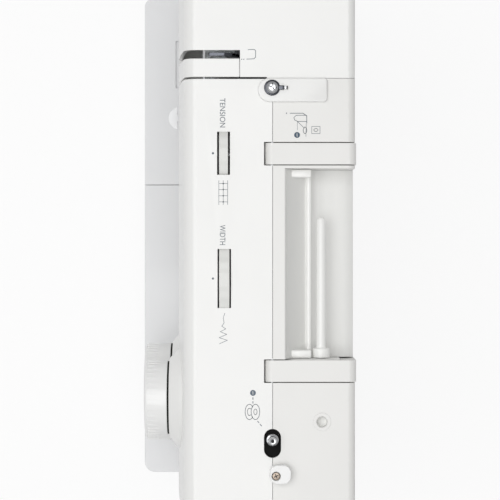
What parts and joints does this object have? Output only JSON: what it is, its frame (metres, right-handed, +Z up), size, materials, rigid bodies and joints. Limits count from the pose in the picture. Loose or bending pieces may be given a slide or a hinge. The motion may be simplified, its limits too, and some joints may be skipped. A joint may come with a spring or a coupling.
{
  "type": "domestic sewing machine",
  "caption": "Domestic sewing machine with a free arm, extension table, thumbwheels on the arm, front dials, handwheel and fold-down carry handle.",
  "frame": {"origin": "middle of the outline on the table that the feet stand on", "axes": "+X along the arm towards the handwheel, +Y away from the operator, +Z up"},
  "size_m": [0.4, 0.154, 0.3015],
  "materials": {
    "white_cover": "smooth near-white moulding",
    "warm_cover": "satin warm white moulding",
    "cool_bed": "satin cool light grey moulding",
    "black_plastic": "matt black moulding",
    "rubber": "matt dark rubber",
    "chrome": "polished plate",
    "steel": "ground and brushed steel",
    "casting": "sand-textured light alloy casting",
    "clear_plastic": "clear smoked moulding"
  },
  "bodies": {
    "root": {"face_cover": "white_cover", "front_cover": "white_cover", "rear_cover": "warm_cover", "thread_channel_insert": "white_cover", "base_cover": "cool_bed", "base_plate": "cool_bed", "rubber_foot_front_left": "rubber", "rubber_foot_front_right": "rubber", "rubber_foot_rear_left": "rubber", "rubber_foot_rear_right": "rubber", "power_inlet": "black_plastic", "free_arm_cover": "cool_bed", "needle_plate": "steel", "frame_casting": "casting", "motor": "steel", "motor_cradle": "casting", "drive_belt": "rubber", "timing_belt": "rubber", "bobbin_case": "black_plastic", "hook_bearing": "casting", "lamp": "white_cover", "thread_guide_pad": "white_cover", "pretension_disc": "chrome", "winder_stopper": "white_cover", "stopper_screw": "chrome", "spool_pin": "white_cover", "handle_pin_left": "steel", "handle_pin_right": "steel"},
    "drive": {"handwheel": "white_cover", "main_shaft": "steel", "toothed_pulley": "white_cover", "drive_pulley": "white_cover", "crank_disc": "steel"},
    "lower_drive": {"lower_shaft": "steel"},
    "motor_drive": {"motor_pulley": "steel"},
    "hook": {"hook": "steel"},
    "bobbin": {"bobbin": "clear_plastic"},
    "needle": {"needle_bar": "chrome", "needle_clamp": "chrome", "needle": "steel", "needle_link": "casting"},
    "presser": {"presser_bar": "chrome", "presser_collar": "casting", "presser_foot": "chrome"},
    "lifter": {"presser_lifter": "black_plastic"},
    "take_up": {"take_up_lever": "chrome"},
    "tension_dial": {"tension_dial": "white_cover"},
    "width_dial": {"width_dial": "white_cover"},
    "length_dial": {"length_dial": "white_cover"},
    "pattern_dial": {"pattern_dial": "white_cover"},
    "reverse_lever": {"reverse_lever": "white_cover"},
    "handle": {"carry_handle": "warm_cover"},
    "winder": {"winder_slide": "black_plastic"},
    "winder_spindle": {"winder_spindle": "chrome"},
    "table": {"extension_table": "cool_bed"},
    "accessory_lid": {"accessory_lid": "cool_bed"},
    "bobbin_cover": {"bobbin_cover": "clear_plastic"},
    "power_switch": {"power_switch": "black_plastic"},
    "feed": {"feed_dog": "steel"}
  },
  "joints": [
    {"name": "handwheel_turn", "type": "hinge", "parent": "root", "child": "drive", "pos_m": [0, 0, 0.232], "axis": [1, 0, 0], "continuous": true},
    {"name": "lower_shaft_turn", "type": "hinge", "parent": "root", "child": "lower_drive", "pos_m": [0, -0.022, 0.046], "axis": [1, 0, 0], "continuous": true},
    {"name": "motor_turn", "type": "hinge", "parent": "root", "child": "motor_drive", "pos_m": [0, 0.02, 0.06], "axis": [1, 0, 0], "continuous": true},
    {"name": "hook_turn", "type": "hinge", "parent": "root", "child": "hook", "pos_m": [-0.149, -0.016, 0.05], "axis": [0, 0, 1], "continuous": true},
    {"name": "bobbin_spin", "type": "hinge", "parent": "root", "child": "bobbin", "pos_m": [-0.149, -0.016, 0.06], "axis": [0, 0, 1], "continuous": true},
    {"name": "needle_slide", "type": "slide", "parent": "root", "child": "needle", "axis": [0, 0, 1], "range_m": [-0.031, 0]},
    {"name": "presser_lift", "type": "slide", "parent": "root", "child": "presser", "axis": [0, 0, 1], "range_m": [0, 0.006]},
    {"name": "lifter_turn", "type": "hinge", "parent": "root", "child": "lifter", "pos_m": [-0.149, 0.0206, 0.1687], "axis": [1, 0, 0], "range_deg": [0, 45]},
    {"name": "take_up_turn", "type": "hinge", "parent": "root", "child": "take_up", "pos_m": [-0.1385, 0.002, 0.262], "axis": [1, 0, 0], "range_deg": [0, 70]},
    {"name": "tension_turn", "type": "hinge", "parent": "root", "child": "tension_dial", "pos_m": [-0.071, 0, 0.2655], "axis": [0, 1, 0], "range_deg": [-150, 150]},
    {"name": "width_turn", "type": "hinge", "parent": "root", "child": "width_dial", "pos_m": [0.0142, 0, 0.2521], "axis": [0, 1, 0], "range_deg": [-120, 120]},
    {"name": "length_turn", "type": "hinge", "parent": "root", "child": "length_dial", "pos_m": [0.099, 0, 0.23], "axis": [0, 1, 0], "range_deg": [-150, 150]},
    {"name": "pattern_turn", "type": "hinge", "parent": "root", "child": "pattern_dial", "pos_m": [0.099, 0, 0.16], "axis": [0, 1, 0], "continuous": true},
    {"name": "reverse_press", "type": "hinge", "parent": "root", "child": "reverse_lever", "pos_m": [-0.0992, -0.025, 0.215], "axis": [1, 0, 0], "range_deg": [0, 12], "stiffness_Nm_per_rad": 0.4, "springref_deg": -8.59},
    {"name": "handle_swing", "type": "hinge", "parent": "root", "child": "handle", "pos_m": [0, 0.0198, 0.285], "axis": [1, 0, 0], "range_deg": [0, 90]},
    {"name": "winder_shift", "type": "slide", "parent": "root", "child": "winder", "axis": [1, 0, 0], "range_m": [0, 0.006]},
    {"name": "winder_spin", "type": "hinge", "parent": "winder", "child": "winder_spindle", "pos_m": [0.124, 0.0199, 0.29], "axis": [0, 0, 1], "continuous": true},
    {"name": "table_slide", "type": "slide", "parent": "root", "child": "table", "axis": [-1, 0, 0], "range_m": [0, 0.15]},
    {"name": "accessory_lid_turn", "type": "hinge", "parent": "table", "child": "accessory_lid", "pos_m": [-0.121, -0.0749, 0.014], "axis": [1, 0, 0], "range_deg": [0, 90]},
    {"name": "bobbin_cover_slide", "type": "slide", "parent": "root", "child": "bobbin_cover", "axis": [0, -1, 0], "range_m": [0, 0.022]},
    {"name": "switch_rock", "type": "hinge", "parent": "root", "child": "power_switch", "pos_m": [0.1635, -0.012, 0.034], "axis": [0, 1, 0], "range_deg": [-6, 6]},
    {"name": "feed_lift", "type": "slide", "parent": "root", "child": "feed", "axis": [0, 0, 1], "range_m": [0, 0.0014]}
  ],
  "couplings": [
    {"joint": "lower_shaft_turn", "follows": "handwheel_turn", "ratio": 1},
    {"joint": "motor_turn", "follows": "handwheel_turn", "ratio": 3.4286},
    {"joint": "hook_turn", "follows": "handwheel_turn", "ratio": 2},
    {"joint": "lifter_turn", "follows": "presser_lift", "rad_per_m": 122}
  ]
}
